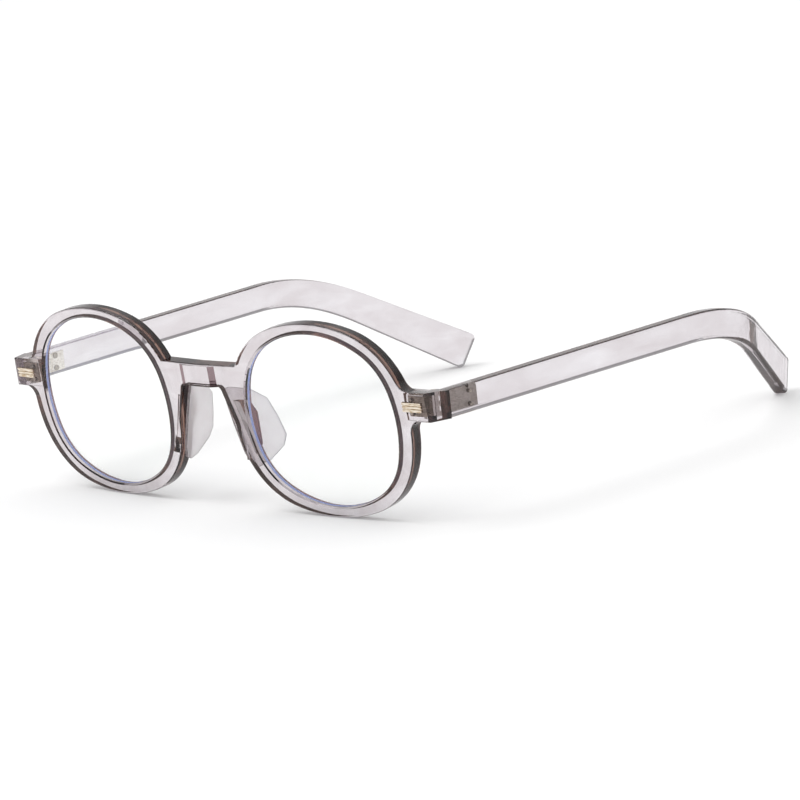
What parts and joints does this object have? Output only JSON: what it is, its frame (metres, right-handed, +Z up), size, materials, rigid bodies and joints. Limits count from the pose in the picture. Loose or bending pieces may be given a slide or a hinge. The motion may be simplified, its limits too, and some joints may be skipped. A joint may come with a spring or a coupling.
{
  "type": "eyeglasses",
  "caption": "Round eyeglasses in clear grey-lilac plastic, with a stepped bridge, bonded nose pads, ribbed metal plaques, barrel hinges and drop-down temples",
  "frame": {"origin": "On the floor, midway between the sides and midway between the front of the bridge and the backs of the temple tips", "axes": "+X is the wearer's left, -Y is the way the front looks, +Z is up; the glasses stand on the rims and the temple tips"},
  "size_m": [0.1454, 0.1493, 0.0461],
  "materials": {
    "front_plastic": "polished, transparent grey-lilac",
    "temple_plastic": "polished, transparent grey-lilac",
    "lens": "polished, coated with a blue-violet reflection",
    "nose_pad": "frosted, translucent",
    "plaque_metal": "satin, pale gold and silver",
    "hinge_metal": "satin",
    "screw_metal": "turned",
    "rivet_metal": "satin"
  },
  "bodies": {
    "front": {"front_frame": "front_plastic", "lens_left": "lens", "nose_pad_left": "nose_pad", "plaque_left": "plaque_metal", "front_hinge_leaf_left": "hinge_metal", "front_rivet_left_upper": "rivet_metal", "front_rivet_left_lower": "rivet_metal", "lens_right": "lens", "nose_pad_right": "nose_pad", "plaque_right": "plaque_metal", "front_hinge_leaf_right": "hinge_metal", "front_rivet_right_upper": "rivet_metal", "front_rivet_right_lower": "rivet_metal"},
    "temple_left_body": {"temple_left": "temple_plastic", "temple_hinge_leaf_left": "hinge_metal", "hinge_screw_left": "screw_metal", "temple_rivet_left_upper": "rivet_metal", "temple_rivet_left_lower": "rivet_metal"},
    "temple_right_body": {"temple_right": "temple_plastic", "temple_hinge_leaf_right": "hinge_metal", "hinge_screw_right": "screw_metal", "temple_rivet_right_upper": "rivet_metal", "temple_rivet_right_lower": "rivet_metal"}
  },
  "joints": [
    {"name": "temple_hinge_left", "type": "hinge", "parent": "front", "child": "temple_left_body", "pos_m": [0.06475, -0.06414, 0.02778], "axis": [0, 0, 1], "range_deg": [0, 86]},
    {"name": "temple_hinge_right", "type": "hinge", "parent": "front", "child": "temple_right_body", "pos_m": [-0.06475, -0.06414, 0.02778], "axis": [0, 0, -1], "range_deg": [0, 68]}
  ]
}
